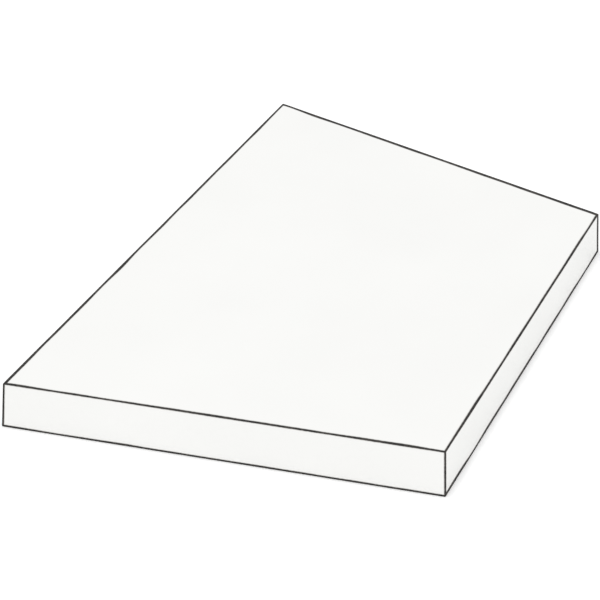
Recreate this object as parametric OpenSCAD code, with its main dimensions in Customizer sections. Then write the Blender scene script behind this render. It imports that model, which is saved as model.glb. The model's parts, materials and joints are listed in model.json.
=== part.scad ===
// Tapered mosaic tile, pressed and fired as one piece.
// Its outline is a symmetric trapezoid, so that a row of such tiles turns into a ring. Its sides lean
// in a little towards the face, so that the pressed tile slips out of its die.
// Millimetres. The bedding face lies on z = 0, and the middle of the tile's box is over the origin.
// X runs from the long side to the short side, Y along both, and the glazed face looks up +Z.

/* [Tile] */
// Length of the long side, on the left, at the foot
long_side = 75; // [20:0.5:150]
// Length of the short side, on the right, at the foot
short_side = 55; // [20:0.5:150]
// Depth of the tile at the foot, from its long side to its short side
tile_d = 51; // [20:0.5:150]
// Thickness of the tile, from its bedding face to its glazed face
tile_t = 6; // [3:0.1:12]
// Angle by which the sides lean in towards the glazed face
draft = 4; // [0:0.5:8]

/* [Edges] */
// Width of the flat that blunts each upright corner
corner_flat = 0.15; // [0.05:0.05:1]
// Leg of the bevel that breaks the edge round the glazed face
face_bevel = 0.08; // [0.04:0.02:1]
// Leg of the bevel round the bedding face
bed_bevel = 0.12; // [0.04:0.02:1]

/* [Hidden] */

// Sharp corners of the foot's outline, anticlockwise from the front right one
outline = [
    [tile_d / 2, -short_side / 2],
    [tile_d / 2, short_side / 2],
    [-tile_d / 2, long_side / 2],
    [-tile_d / 2, -long_side / 2]
];
// Angle of the slanted sides in the plan, and the inner angle at each corner of the outline
taper = atan((long_side - short_side) / 2 / tile_d);
corner_angles = [90 + taper, 90 + taper, 90 - taper, 90 - taper];
// Way that each side faces, from the side that starts at the first corner: right, back, left, front
facings = [0, 90 - taper, 180, 270 + taper];
// Further than the tile reaches in any direction
beyond = long_side + short_side + tile_d;

// Upright section through a side and all that lies behind it. The side faces +X and stands at x = 0
// at the foot, and it leans in by so much for each millimetre of height.
module side_section(lean) {
    polygon([
        [-beyond, 0],
        [-bed_bevel, 0],
        [-lean * bed_bevel, bed_bevel],
        [-lean * (tile_t - face_bevel), tile_t - face_bevel],
        [-lean * tile_t - face_bevel, tile_t],
        [-beyond, tile_t]
    ]);
}

// Endless side through a point of the foot, facing the given way, with all that lies behind it
module side(point, facing, lean) {
    translate(point) rotate([90, 0, facing])
        linear_extrude(height = 2 * beyond, center = true) side_section(lean);
}

// The whole tile: what lies behind all four of its sides and behind the flats on its corners
module tile() {
    color("whitesmoke") intersection_for(i = [0:3]) {
        // The flat faces halfway between the sides that meet at its corner, and leans as their edge does
        half_angle = corner_angles[i] / 2;
        flat_facing = facings[i] - (90 - half_angle);
        flat_depth = corner_flat / 2 / tan(half_angle);
        flat_point = outline[i] - flat_depth * [cos(flat_facing), sin(flat_facing)];
        intersection() {
            side(outline[i], facings[i], tan(draft));
            side(flat_point, flat_facing, tan(draft) / sin(half_angle));
        }
    }
}

tile();
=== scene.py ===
"""Looks for a tapered mosaic tile: a black stoneware body under a white gloss glaze.

The glaze covers the face and the sides, but draws back from every sharp edge in the fire, so that the
black body shows there as a fine bare line. The foot and the back are bare too. Lengths are metres in
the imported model's own frame: X from the long side on the left to the short side on the right, Z up
from the foot, the front at -Y. A point of the plan is a complex number, x + iy, and so is a way in it.
"""

import json
import math

import bpy
import numpy as np
from bpy.props import FloatProperty, FloatVectorProperty, IntProperty, PointerProperty
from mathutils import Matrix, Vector


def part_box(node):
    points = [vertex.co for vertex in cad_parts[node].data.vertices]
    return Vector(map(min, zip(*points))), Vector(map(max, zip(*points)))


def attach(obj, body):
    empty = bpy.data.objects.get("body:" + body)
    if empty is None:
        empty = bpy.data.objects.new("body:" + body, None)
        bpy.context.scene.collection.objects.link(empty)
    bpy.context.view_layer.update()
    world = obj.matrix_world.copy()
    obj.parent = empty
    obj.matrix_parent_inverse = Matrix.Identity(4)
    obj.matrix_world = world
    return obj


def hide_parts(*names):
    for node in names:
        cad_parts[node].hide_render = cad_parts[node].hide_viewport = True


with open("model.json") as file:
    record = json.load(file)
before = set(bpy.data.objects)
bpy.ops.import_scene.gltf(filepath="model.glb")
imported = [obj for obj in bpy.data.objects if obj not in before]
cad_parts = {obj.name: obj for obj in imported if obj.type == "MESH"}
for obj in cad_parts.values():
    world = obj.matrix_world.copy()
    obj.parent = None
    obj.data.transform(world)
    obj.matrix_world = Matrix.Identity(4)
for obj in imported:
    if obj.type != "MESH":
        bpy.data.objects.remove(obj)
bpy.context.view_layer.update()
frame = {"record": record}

bl_info = {
    "name": "Mosaic Tile",
    "version": (1, 0, 0),
    "blender": (4, 5, 0),
    "location": "3D View > Sidebar > Mosaic Tile",
    "description": "Glazes a mosaic tile round its packed model, and sets the stage that it lies on",
    "category": "Object",
}

MM = 0.001
TILE_LOW, TILE_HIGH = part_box("tile")
THICKNESS = TILE_HIGH.z - TILE_LOW.z

# The four sides, anticlockwise, worked out from the mounts on them: the way that each faces in the
# plan, how far they all lean in for each metre of height, and how far each one's foot is from the
# origin
SIDES = ("right", "back", "left", "front")
MOUNTS = {mount["name"]: mount for mount in frame["record"]["mounts"]}
AXIS_X, AXIS_Y, AXIS_Z = np.array([MOUNTS["joint_face_" + side]["axis"] for side in SIDES]).T
MOUNT_X, MOUNT_Y, MOUNT_Z = np.array([MOUNTS["joint_face_" + side]["pos_m"] for side in SIDES]).T
SIDE_WAYS = (AXIS_X + 1j * AXIS_Y) / np.hypot(AXIS_X, AXIS_Y)
LEAN = (AXIS_Z / np.hypot(AXIS_X, AXIS_Y)).mean()
FOOT_REACHES = MOUNT_X * SIDE_WAYS.real + MOUNT_Y * SIDE_WAYS.imag + LEAN * MOUNT_Z

# How finely the surface is drawn: steps between one edge and the other, and how strongly they crowd
# towards the edges. The face and the back have one count from left to right, and one from front to
# back.
FACE_STEPS_ACROSS = 144
FACE_STEPS_ALONG = 200
FACE_CROWDING = 2.4
SIDE_STEPS = 30
SIDE_CROWDING = 2.2
# Steps over each round corner or edge, and over each short flat or bevel
ROUND_STEPS = 8
SHORT_STEPS = 3

# The angle through which the round edge turns, from the face to the leaning side, and how much nearer
# its ends are to its halfway line than to the sharp edge in its place, as a share of its radius
EDGE_TURN = math.pi / 2 - math.atan(LEAN)
ROUND_SAVING = math.tan(EDGE_TURN / 2) - EDGE_TURN / 2
# The share of the round edge that counts as the face, and how far up a point faces where it ends. It
# is just under a half, so that the row on the halfway line always counts as the side.
FACE_SHARE = 0.49
FACE_ENDS_UP = math.cos(FACE_SHARE * EDGE_TURN)

# Where the lamps stand as seen from the tile, in degrees, how far off and how wide they are, in
# metres, and their power in watts
SOFTBOXES = {
    "key_softbox": {"azimuth": -35, "elevation": 60, "distance": 1.0, "size": 1.0, "power": 1.5},
    "fill_softbox": {"azimuth": 60, "elevation": 45, "distance": 1.0, "size": 1.0, "power": 1.4},
}
# From the origin to each side of the floor, and the nearest that the camera sees, in metres
FLOOR_REACH = 4.0
CLIP_START = 0.01


def millimetres(label, text, size, high=5.0):
    """A length property whose default and upper limit are given in millimetres."""
    return FloatProperty(
        name=label,
        description=text,
        default=size * MM,
        min=0,
        max=high * MM,
        subtype="DISTANCE",
        unit="LENGTH",
        precision=5,
    )


def linear(code):
    """An sRGB hex colour, such as "#f0eee9", as the linear red, green and blue that a shader takes."""
    shares = [int(code[i : i + 2], 16) / 255 for i in (1, 3, 5)]
    return [s / 12.92 if s <= 0.04045 else ((s + 0.055) / 1.055) ** 2.4 for s in shares]


def colour(label, text, code):
    """A colour property whose default is an sRGB hex colour. It ends in an opaque alpha."""
    return FloatVectorProperty(
        name=label,
        description=text,
        default=(*linear(code), 1),
        min=0,
        max=1,
        size=4,
        subtype="COLOR",
    )


def share(label, text, default):
    """A property from 0 to 1."""
    return FloatProperty(
        name=label, description=text, default=default, min=0, max=1, subtype="FACTOR"
    )


def angle(label, text, degrees):
    """An angle property whose default is given in degrees."""
    return FloatProperty(
        name=label,
        description=text,
        default=math.radians(degrees),
        subtype="ANGLE",
        unit="ROTATION",
    )


class TileShape(bpy.types.PropertyGroup):
    """Sizes of the fired tile's edges and of its face's unevenness."""

    corner_radius: millimetres("Corner radius", "Radius of the four corners, seen from above", 0.15)
    edge_radius: millimetres("Edge radius", "Radius of the edge round the face", 0.1)
    foot_bevel: millimetres("Foot bevel", "Leg of the bevel round the back", 0.12)
    crown_drop: millimetres("Crown drop", "How far the face falls away at its edges", 0.03)
    crown_width: millimetres("Crown width", "Width of the strip where the face falls away", 1.2)
    ripple_height: millimetres("Ripple", "Height of the glaze's slow ripple", 0.006)
    ripple_length: millimetres("Ripple length", "Length of the glaze's slow ripple", 9, high=50)
    seed: IntProperty(name="Seed", description="Picks the ripple and the lip's wander", default=7)


class GlazeEdge(bpy.types.PropertyGroup):
    """How far the glaze stands back from each sharp edge, from the edge's halfway line.

    It was sprayed from the front right, so it lies thinnest at the back and on the left, and on the
    face it draws back furthest there. The foot was wiped, and the right side most of all.
    """

    face_front: millimetres("Face, front", "Bare width on the face along its front edge", 0.3)
    face_back: millimetres("Face, back", "Bare width on the face along its back edge", 0.62)
    face_left: millimetres("Face, left", "Bare width on the face along its left edge", 0.42)
    face_right: millimetres("Face, right", "Bare width on the face along its right edge", 0.27)
    under_face: millimetres("Under face", "Bare height on the sides under the face's edge", 0.06)
    foot: millimetres("Foot", "Bare height above the bevel, on every side but the right", 0.21)
    foot_right: millimetres("Foot, right", "Bare height above the bevel, on the right side", 0.5)
    right_corners: millimetres("Right corners", "Bare width beside the right-hand corners", 0.19)
    left_corners: millimetres("Left corners", "Bare width beside the left-hand corners", 0.3)
    far_corner: millimetres("Far corner", "Bare width at the right side's back end", 0.78)
    lip_height: millimetres("Lip height", "How far the glaze stands above the bare body", 0.02)
    lip_width: millimetres("Lip width", "Width over which the glaze's lip rises", 0.08)
    wander: share("Wander", "How much the bare width varies along the edge", 0.06)
    wander_length: millimetres("Wander length", "Length over which it varies", 6, high=50)


class TileFinish(bpy.types.PropertyGroup):
    """Colours and gloss of the glaze and the body."""

    glaze: colour("Glaze", "Colour of the glaze where it lies thick", "#fafaf8")
    cloud: colour("Cloud", "Colour of the glaze's faint clouds", "#f5f5f3")
    thin: colour("Thin glaze", "Colour of the glaze at its lip", "#d8d7d4")
    body: colour("Body", "Colour of the bare fired body", "#151312")
    grit: colour("Grit", "Colour of the light grains in the body", "#3b3733")
    gloss: share("Glaze roughness", "Roughness of the glaze", 0.12)
    matt: share("Body roughness", "Roughness of the bare body", 0.8)


class StageSetup(bpy.types.PropertyGroup):
    """Where the camera stands, and how bright the stage is."""

    azimuth: angle("Azimuth", "Turn of the camera from the tile's front towards its right", 25.1)
    elevation: angle("Elevation", "Height of the camera above the horizon", 34.25)
    distance: millimetres("Distance", "From the camera to its aim", 231.4, high=5000)
    aim: FloatVectorProperty(
        name="Aim",
        description="Point that the camera looks at",
        default=(-3.45 * MM, -3.4 * MM, 3 * MM),
        subtype="XYZ",
        unit="LENGTH",
        precision=5,
    )
    lens: FloatProperty(
        name="Lens", description="Focal length", default=112.2, min=10, unit="CAMERA"
    )
    sky: FloatProperty(
        name="Sky", description="Strength of the even light from all round", default=0.84, min=0
    )
    floor: colour("Floor", "Colour of the floor card", "#fafafa")
    floor_lift: share("Floor lift", "Light added to the floor as the camera sees it", 0.2)


def add_node(tree, kind, inputs=None, **settings):
    """Adds a node, with its settings and inputs. A socket given as an input is linked, a value is set."""
    node = tree.nodes.new(kind)
    for name, value in settings.items():
        setattr(node, name, value)
    for name, value in (inputs or {}).items():
        if isinstance(value, bpy.types.NodeSocket):
            tree.links.new(value, node.inputs[name])
        else:
            node.inputs[name].default_value = value
    return node


def crowded(steps, crowding):
    """Shares from 0 to 1 that crowd towards both ends: 1/2 + tanh(c u) / (2 tanh(c)), u from -1 to 1."""
    even = np.linspace(-1, 1, steps + 1)
    return 0.5 + np.tanh(crowding * even) / (2 * math.tanh(crowding))


def smooth_step(low, high, x):
    """Rises from 0 at low to 1 at high as 3u^2 - 2u^3."""
    u = np.clip((x - low) / (high - low), 0, 1)
    return u * u * (3 - 2 * u)


def ripple(points, length, height, seed):
    """Slow unevenness: a sum of cosine waves through space, in random directions and near one length.

    height is its root mean square.
    """
    rng = np.random.default_rng(seed)
    count = 24
    shortest, longest = 0.7 * length, 1.6 * length
    way = rng.normal(size=(count, 3))
    way /= np.linalg.norm(way, axis=1, keepdims=True)
    turns = 2 * math.pi / rng.uniform(shortest, longest, count)
    start = rng.uniform(0, 2 * math.pi, count)
    waves = np.cos(points @ (way * turns[:, None]).T + start)
    return height * waves.sum(axis=1) * math.sqrt(2 / count)


def corner_middles(radius, height):
    """Middles of the rounded corners at that height, each between one side and the next.

    A corner's middle is the point whose distance along both sides' ways is the side's reach less the
    radius: i * (next reach * way - reach * next way) / the sine of the turn between the two ways.
    """
    next_ways = np.roll(SIDE_WAYS, -1)
    reaches = FOOT_REACHES - LEAN * height - radius
    sines = (SIDE_WAYS.conj() * next_ways).imag
    return 1j * (np.roll(reaches, -1) * SIDE_WAYS - reaches * next_ways) / sines


def outline(middles, radius):
    """Stations anticlockwise round the tile, on the line through the corners' middles.

    Each side's stations are the face grid's own border places, and each corner's stay at its middle
    while they turn from one side's way to the next. Returns the places, the unit ways out, and how
    far each is from the halfway line of the nearest corner, along the rim, a radius further out.
    """
    turns = np.angle(np.roll(SIDE_WAYS, -1) / SIDE_WAYS)
    half_arcs = radius * turns / 2
    places, ways, apart = [], [], []
    for side, way in enumerate(SIDE_WAYS):
        start, end = middles[side - 1], middles[side]
        steps = FACE_STEPS_ACROSS if SIDES[side] in ("front", "back") else FACE_STEPS_ALONG
        line = start + (end - start) * crowded(steps, FACE_CROWDING)
        turn = np.linspace(0, turns[side], ROUND_STEPS + 1)[1:-1]
        from_start = abs(line - start) + half_arcs[side - 1]
        to_end = abs(line - end) + half_arcs[side]
        places += [line, np.full(len(turn), end)]
        ways += [np.full(len(line), way), way * np.exp(1j * turn)]
        apart += [np.minimum(from_start, to_end), abs(radius * turn - half_arcs[side])]
    return np.concatenate(places), np.concatenate(ways), np.concatenate(apart)


def profile(shape):
    """The rim's upright section, from the face's flat over the edge and down to the back.

    Rows of inset from the leaning side, height, and how far the surface there faces out and up: a
    flat, an arc that turns from the face to the side, a straight side whose rows crowd towards its
    ends, a bevel, a flat.
    """
    edge, bevel, corner = shape.edge_radius, shape.foot_bevel, shape.corner_radius
    # The arc's middle is one radius from the face and from the side, and this is its inset at the face
    middle = edge * math.tan(EDGE_TURN / 2)
    flat = np.linspace(corner, middle, SHORT_STEPS + 1)[:-1]
    turn = np.linspace(0, EDGE_TURN, ROUND_STEPS + 1)
    fallen = edge * (1 - np.cos(turn))
    side_top = THICKNESS - fallen[-1]
    side = side_top + (bevel - side_top) * crowded(SIDE_STEPS, SIDE_CROWDING)[1:]
    slope = np.linspace(0, bevel, SHORT_STEPS + 1)[1:]
    under = np.linspace(bevel, corner, SHORT_STEPS + 1)[1:]
    inset = [flat, middle + LEAN * fallen - edge * np.sin(turn), 0 * side, slope, under]
    height = [0 * flat + THICKNESS, THICKNESS - fallen, side, bevel - slope, 0 * under]
    side_out, side_up = math.sin(EDGE_TURN), math.cos(EDGE_TURN)
    bevel_out, bevel_up = np.array((1, LEAN - 1)) / math.hypot(1, LEAN - 1)
    out = [0 * flat, np.sin(turn), 0 * side + side_out, 0 * slope + bevel_out, 0 * under]
    up = [0 * flat + 1, np.cos(turn), 0 * side + side_up, 0 * slope + bevel_up, 0 * under - 1]
    return [np.concatenate(rows) for rows in (inset, height, out, up)]


def grid_faces(rows, columns, around=False):
    """Quads over a grid of points kept row by row. around joins the last column to the first."""
    index = np.arange(rows * columns).reshape(rows, columns)
    if around:
        index = np.hstack([index, index[:, :1]])
    corners = (index[:-1, :-1], index[1:, :-1], index[1:, 1:], index[:-1, 1:])
    return np.stack([c.ravel() for c in corners], axis=1)


def weld(points, quads):
    """Merges points at one place. Returns which points are kept, and the faces as triangles between them.

    A quad that a merge has left with two corners at one point gives a single triangle.
    """
    tenth_micron = 1e-4 * MM
    _, kept, place = np.unique(
        np.round(points / tenth_micron), axis=0, return_index=True, return_inverse=True
    )
    quads = place.ravel()[quads]
    triangles = np.concatenate([quads[:, [0, 1, 2]], quads[:, [0, 2, 3]]])
    a, b, c = triangles.T
    return kept, triangles[(a != b) & (b != c) & (c != a)]


def face_grid(middles):
    """Places over the face or the back between its corners' middles, in rows from left to right.

    The place at shares u across and v along is the front edge's point at u, moved v of the way to
    the back edge's point at u.
    """
    back_right, back_left, front_left, front_right = middles
    across, along = np.meshgrid(
        crowded(FACE_STEPS_ACROSS, FACE_CROWDING),
        crowded(FACE_STEPS_ALONG, FACE_CROWDING),
        indexing="ij",
    )
    front = front_left + (front_right - front_left) * across
    back = back_left + (back_right - back_left) * across
    return front + (back - front) * along


def tile_body(shape):
    """The whole tile as one closed surface, before its glaze.

    The face and the back are grids between their corners' middles. The rim is its profile carried
    round the outline, which moves evenly from the foot's to the face's with height: place + way out
    * (corner radius - inset). Returns points, the ways that they face, their distances from the
    nearest corner, and triangles.
    """
    radius = shape.corner_radius
    foot_middles, face_middles = corner_middles(radius, 0), corner_middles(radius, THICKNESS)
    foot_places, ways, apart = outline(foot_middles, radius)
    face_places = outline(face_middles, radius)[0]
    inset, height, out, up = profile(shape)

    risen = height[:, None] / THICKNESS
    places = foot_places + (face_places - foot_places) * risen
    spots = places + ways * (radius - inset)[:, None]
    facing = ways * out[:, None]
    level = np.zeros(spots.shape)
    rim = np.stack([spots.real, spots.imag, level + height[:, None]], axis=-1)
    rim_ways = np.stack([facing.real, facing.imag, level + up[:, None]], axis=-1)
    rim_apart = level + apart

    grid, back_grid = face_grid(face_middles), face_grid(foot_middles)
    face = np.stack([grid.real, grid.imag, np.full(grid.shape, THICKNESS)], axis=-1)
    back = np.stack([back_grid.real, back_grid.imag, np.zeros(grid.shape)], axis=-1)
    face_ways = 0 * face + (0, 0, 1)
    # Only the sides' glaze asks for the distance from a corner, so the grids get a plain long one
    far_from_corners = np.full(grid.shape, TILE_HIGH.x)

    blocks = [
        (rim, rim_ways, rim_apart, grid_faces(*level.shape, around=True)),
        (face, face_ways, far_from_corners, grid_faces(*grid.shape)),
        (back, -face_ways, far_from_corners, grid_faces(*grid.shape)[:, ::-1]),
    ]
    points = np.concatenate([block[0].reshape(-1, 3) for block in blocks])
    ways = np.concatenate([block[1].reshape(-1, 3) for block in blocks])
    apart = np.concatenate([block[2].ravel() for block in blocks])
    starts = np.cumsum([0] + [block[2].size for block in blocks])
    quads = np.concatenate([block[3] + start for block, start in zip(blocks, starts)])
    kept, triangles = weld(points, quads)
    return points[kept], ways[kept], apart[kept], triangles


def inside_sides(points):
    """How far each point lies inside each of the four sides, level with it.

    It is the side's reach at the point's height less the point's distance along the side's way.
    """
    x, y, z = points.T
    ways = SIDE_WAYS[:, None]
    return FOOT_REACHES[:, None] - LEAN * z - (x * ways.real + y * ways.imag)


def glaze_depth(points, ways, apart, shape, glaze_edge):
    """How far each point lies inside the glaze's lip: negative on the bare body.

    It is the least, over the sharp edges, of the distance from the edge's halfway line less the bare
    width there, which wanders slowly.
    """
    x, y, z = points.T
    facing_x, facing_y, facing_z = ways.T
    uneven = 1 + ripple(points, glaze_edge.wander_length, glaze_edge.wander, shape.seed + 1)

    round_saving = shape.edge_radius * ROUND_SAVING
    widths = np.array([getattr(glaze_edge, "face_" + side) for side in SIDES])
    on_face = (inside_sides(points) - round_saving - widths[:, None] * uneven).min(axis=0)

    below_face = THICKNESS - z - round_saving
    above_bevel = z - shape.foot_bevel
    faces_right = facing_x > abs(facing_y)
    foot = np.where(faces_right, glaze_edge.foot_right, glaze_edge.foot)
    corner = np.where(x > 0, glaze_edge.right_corners, glaze_edge.left_corners)
    corner = np.where(faces_right & (y > 0), glaze_edge.far_corner, corner)
    on_side = np.min(
        [
            below_face - glaze_edge.under_face * uneven,
            above_bevel - foot * uneven,
            apart - corner * uneven,
        ],
        axis=0,
    )
    return np.where(facing_z > FACE_ENDS_UP, on_face, on_side)


def glazed(points, ways, depth, shape, glaze_edge):
    """The surface once it is glazed and fired, each point moved along the way that it faces.

    The face falls away at its edges as the square of the way into the crown's strip, and the fall
    fades away down the sides. The bare body stands inside the glaze by the lip's height, and all of
    it ripples slowly. Nothing moves outwards, so the tile stays within its packed size, and the bevel
    takes up the difference, so that the back stays flat and keeps its place.
    """
    into_crown = np.clip(1 - inside_sides(points) / shape.crown_width, 0, 1)
    height = points[:, 2]
    near_face = smooth_step(THICKNESS - shape.crown_width, THICKNESS, height)
    fall = shape.crown_drop * (into_crown**2).sum(axis=0) * near_face
    bare = 1 - smooth_step(-glaze_edge.lip_width / 2, glaze_edge.lip_width / 2, depth)
    wave = ripple(points, shape.ripple_length, shape.ripple_height, shape.seed)
    above_back = smooth_step(0, shape.foot_bevel, height)
    rise = (wave - wave.max() - glaze_edge.lip_height * bare) * above_back
    return points + ways * rise[:, None] - np.outer(fall, (0, 0, 1))


def add_piece(name, points, triangles, material):
    """A smooth-shaded mesh object at the origin, linked to the scene, with one material."""
    mesh = bpy.data.meshes.new(name)
    mesh.from_pydata(points, [], triangles)
    mesh.shade_smooth()
    mesh.materials.append(material)
    piece = bpy.data.objects.new(name, mesh)
    bpy.context.scene.collection.objects.link(piece)
    return piece


def new_material(name):
    """A material with an empty node tree."""
    material = bpy.data.materials.new(name)
    material.use_nodes = True
    material.node_tree.nodes.clear()
    return material


def glazed_stoneware(finish):
    """White zircon glaze, sprayed and fired glossy on a manganese-black stoneware body.

    Thick glaze is an even cool white that mirrors the room faintly. At its lip it thins and greys
    over the black. The bare body is matt, and finely gritty where the foot was wiped.
    """
    # Sizes of the patterns, in millimetres across, and heights of the relief, in metres
    cloud_size, peel_size, rag_size, grit_size = 14.0, 1.5, 0.35, 0.7
    peel_height, grit_height = 0.002 * MM, 0.02 * MM
    # How far the lip's rags reach, how sharply it ends and how wide the thin glaze is, in millimetres
    rag_reach, lip_blur, thin_width = 0.05, 0.03, 0.16
    # The noise at which the body is all of its own colour, and all grit
    all_body, all_grit = 0.38, 0.66

    material = new_material("White gloss glaze on black stoneware")
    tree = material.node_tree
    coordinates = add_node(tree, "ShaderNodeTexCoord").outputs["Object"]
    # From here on one unit is a millimetre, so a pattern's scale is one over its size
    place = add_node(
        tree, "ShaderNodeVectorMath", {0: coordinates, "Scale": 1 / MM}, operation="SCALE"
    ).outputs[0]
    depth = add_node(tree, "ShaderNodeAttribute", attribute_name="glaze_depth").outputs["Fac"]

    # Fine rags along the lip
    rags = add_node(
        tree, "ShaderNodeTexNoise", {"Vector": place, "Scale": 1 / rag_size, "Detail": 1.0}
    ).outputs["Fac"]
    ragged = add_node(
        tree,
        "ShaderNodeMath",
        {0: rags, 1: rag_reach, 2: depth},
        operation="MULTIPLY_ADD",
    ).outputs[0]
    # The noise lies round one half, so the lip itself is half a rag's reach further in
    lip = rag_reach / 2
    cover = add_node(
        tree,
        "ShaderNodeMapRange",
        {"Value": ragged, "From Min": lip - lip_blur, "From Max": lip + lip_blur},
        interpolation_type="SMOOTHSTEP",
    ).outputs["Result"]
    thickness = add_node(
        tree, "ShaderNodeMapRange", {"Value": ragged, "From Min": lip, "From Max": thin_width}
    ).outputs["Result"]

    cloud = add_node(
        tree, "ShaderNodeTexNoise", {"Vector": place, "Scale": 1 / cloud_size, "Detail": 2.0}
    ).outputs["Fac"]
    white = add_node(
        tree,
        "ShaderNodeMix",
        {0: cloud, 6: finish.glaze, 7: finish.cloud},
        data_type="RGBA",
    ).outputs[2]
    white = add_node(
        tree, "ShaderNodeMix", {0: thickness, 6: finish.thin, 7: white}, data_type="RGBA"
    ).outputs[2]
    # The grains are about twice their real size, which is too fine to show
    grains = add_node(
        tree, "ShaderNodeTexNoise", {"Vector": place, "Scale": 1 / grit_size, "Detail": 5.0}
    ).outputs["Fac"]
    speckle = add_node(
        tree, "ShaderNodeMapRange", {"Value": grains, "From Min": all_body, "From Max": all_grit}
    ).outputs["Result"]
    body = add_node(
        tree, "ShaderNodeMix", {0: speckle, 6: finish.body, 7: finish.grit}, data_type="RGBA"
    ).outputs[2]
    surface = add_node(
        tree, "ShaderNodeMix", {0: cover, 6: body, 7: white}, data_type="RGBA"
    ).outputs[2]
    roughness = add_node(
        tree,
        "ShaderNodeMapRange",
        {"Value": cover, "To Min": finish.matt, "To Max": finish.gloss},
    ).outputs["Result"]

    # Orange peel over all of it, and grit where it is bare
    peel = add_node(
        tree, "ShaderNodeTexNoise", {"Vector": place, "Scale": 1 / peel_size, "Detail": 1.0}
    ).outputs["Fac"]
    peeled = add_node(
        tree, "ShaderNodeBump", {"Height": peel, "Distance": peel_height}
    ).outputs["Normal"]
    bare = add_node(tree, "ShaderNodeMath", {0: 1.0, 1: cover}, operation="SUBTRACT").outputs[0]
    gritty = add_node(
        tree,
        "ShaderNodeBump",
        {"Height": grains, "Strength": bare, "Distance": grit_height, "Normal": peeled},
    ).outputs["Normal"]
    # The refractive index of a glassy glaze
    shader = add_node(
        tree,
        "ShaderNodeBsdfPrincipled",
        {"Base Color": surface, "Roughness": roughness, "Normal": gritty, "IOR": 1.5},
    )
    add_node(tree, "ShaderNodeOutputMaterial", {"Surface": shader.outputs["BSDF"]})
    return material


def white_card(setup):
    """Matt white card. The camera sees it lifted to plain white, with the tile's shadow kept."""
    material = new_material("Matt white card")
    tree = material.node_tree
    card = add_node(tree, "ShaderNodeBsdfDiffuse", {"Color": setup.floor}).outputs[0]
    lift = add_node(tree, "ShaderNodeEmission", {"Strength": setup.floor_lift}).outputs[0]
    seen = add_node(tree, "ShaderNodeAddShader", {0: card, 1: lift}).outputs[0]
    path = add_node(tree, "ShaderNodeLightPath")
    shown = add_node(
        tree, "ShaderNodeMixShader", {0: path.outputs["Is Camera Ray"], 1: card, 2: seen}
    )
    add_node(tree, "ShaderNodeOutputMaterial", {"Surface": shown.outputs[0]})
    return material


def white_room(sky):
    """A world that gives even light at the sky's strength, and that eye and mirror see as white."""
    world = bpy.data.worlds.new("White room")
    world.use_nodes = True
    tree = world.node_tree
    tree.nodes.clear()
    path = add_node(tree, "ShaderNodeLightPath").outputs
    seen = path["Is Camera Ray"]
    for kind in ("Is Glossy Ray", "Is Transmission Ray"):
        seen = add_node(
            tree, "ShaderNodeMath", {0: seen, 1: path[kind]}, operation="MAXIMUM"
        ).outputs[0]
    strength = add_node(
        tree, "ShaderNodeMapRange", {"Value": seen, "To Min": sky, "To Max": 1.0}
    ).outputs["Result"]
    light = add_node(tree, "ShaderNodeBackground", {"Color": (1, 1, 1, 1), "Strength": strength})
    add_node(tree, "ShaderNodeOutputWorld", {"Surface": light.outputs[0]})
    return world


def stand_facing(name, data, aim, azimuth, elevation, distance):
    """Puts a lamp or camera at that azimuth, elevation and distance from aim, and turns it to aim."""
    way = Vector(
        (
            math.sin(azimuth) * math.cos(elevation),
            -math.cos(azimuth) * math.cos(elevation),
            math.sin(elevation),
        )
    )
    stand = bpy.data.objects.new(name, data)
    stand.location = aim + way * distance
    stand.rotation_euler = (-way).to_track_quat("-Z", "Y").to_euler()
    bpy.context.scene.collection.objects.link(stand)
    return stand


class MOSAIC_OT_tile(bpy.types.Operator):
    """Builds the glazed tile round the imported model, in the model's own place"""

    bl_idname = "mosaic.tile"
    bl_label = "Glazed Tile"

    def execute(self, context):
        scene = context.scene
        shape, glaze_edge = scene.mosaic_shape, scene.mosaic_glaze_edge
        points, ways, apart, triangles = tile_body(shape)
        depth = glaze_depth(points, ways, apart, shape, glaze_edge)
        points = glazed(points, ways, depth, shape, glaze_edge)
        material = glazed_stoneware(scene.mosaic_finish)
        piece = add_piece("glazed_tile", points, triangles, material)
        # The material reads the depth in millimetres, and needs it only near the lip
        near_lip = np.clip(depth / MM, -1, 1)
        attribute = piece.data.attributes.new("glaze_depth", "FLOAT", "POINT")
        attribute.data.foreach_set("value", near_lip.astype(np.float32))
        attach(piece, "root")
        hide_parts("tile")
        return {"FINISHED"}


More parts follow.
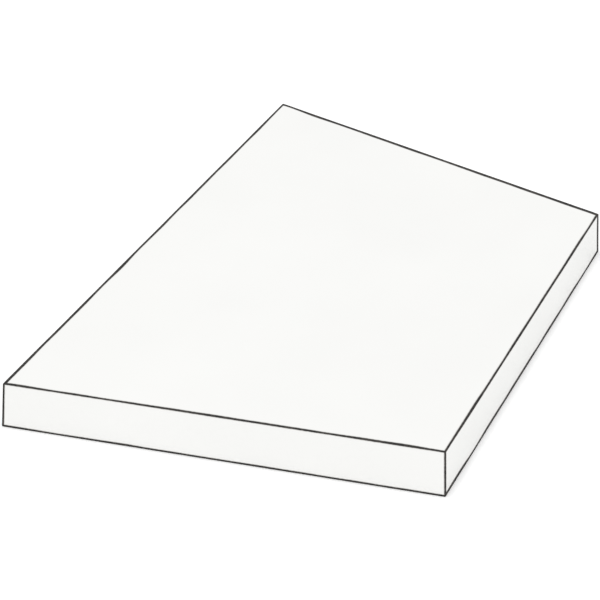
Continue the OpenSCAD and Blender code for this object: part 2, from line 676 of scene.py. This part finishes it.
class MOSAIC_OT_stage(bpy.types.Operator):
    """Lays a white floor, lights it softly and stands the camera in front"""

    bl_idname = "mosaic.stage"
    bl_label = "White Stage"

    def execute(self, context):
        scene, setup = context.scene, context.scene.mosaic_stage
        square = np.array([(-1, -1), (1, -1), (1, 1), (-1, 1)]) * FLOOR_REACH
        corners = np.column_stack([square, np.full(4, TILE_LOW.z)])
        floor = add_piece("floor", corners, [(0, 1, 2, 3)], white_card(setup))
        scene.world = white_room(setup.sky)

        middle = (TILE_LOW + TILE_HIGH) / 2
        for name, box in SOFTBOXES.items():
            lamp = bpy.data.lights.new(name, "AREA")
            lamp.size = box["size"]
            lamp.energy = box["power"]
            azimuth, elevation = math.radians(box["azimuth"]), math.radians(box["elevation"])
            stand_facing(name, lamp, middle, azimuth, elevation, box["distance"])

        camera = bpy.data.cameras.new("camera")
        camera.lens = setup.lens
        camera.clip_start = CLIP_START
        scene.camera = stand_facing(
            "camera", camera, Vector(setup.aim), setup.azimuth, setup.elevation, setup.distance
        )
        scene.view_settings.view_transform = "Standard"
        return {"FINISHED"}


SETTINGS = {
    "mosaic_shape": TileShape,
    "mosaic_glaze_edge": GlazeEdge,
    "mosaic_finish": TileFinish,
    "mosaic_stage": StageSetup,
}


class MOSAIC_PT_panel(bpy.types.Panel):
    """Lists the tile's sizes and colours, and the buttons that build it"""

    bl_idname = "MOSAIC_PT_panel"
    bl_label = "Mosaic Tile"
    bl_space_type = "VIEW_3D"
    bl_region_type = "UI"
    bl_category = "Mosaic Tile"

    def draw(self, context):
        for settings, group in SETTINGS.items():
            box = self.layout.box()
            for name in group.__annotations__:
                box.prop(getattr(context.scene, settings), name)
        for operator in (MOSAIC_OT_tile, MOSAIC_OT_stage):
            self.layout.operator(operator.bl_idname)


CLASSES = (*SETTINGS.values(), MOSAIC_OT_tile, MOSAIC_OT_stage, MOSAIC_PT_panel)


def register():
    for cls in CLASSES:
        bpy.utils.register_class(cls)
    for name, group in SETTINGS.items():
        setattr(bpy.types.Scene, name, PointerProperty(type=group))


def unregister():
    for name in SETTINGS:
        delattr(bpy.types.Scene, name)
    for cls in reversed(CLASSES):
        bpy.utils.unregister_class(cls)


def main():
    register()
    bpy.ops.mosaic.stage()
    bpy.ops.mosaic.tile()


if __name__ == "__main__":
    main()
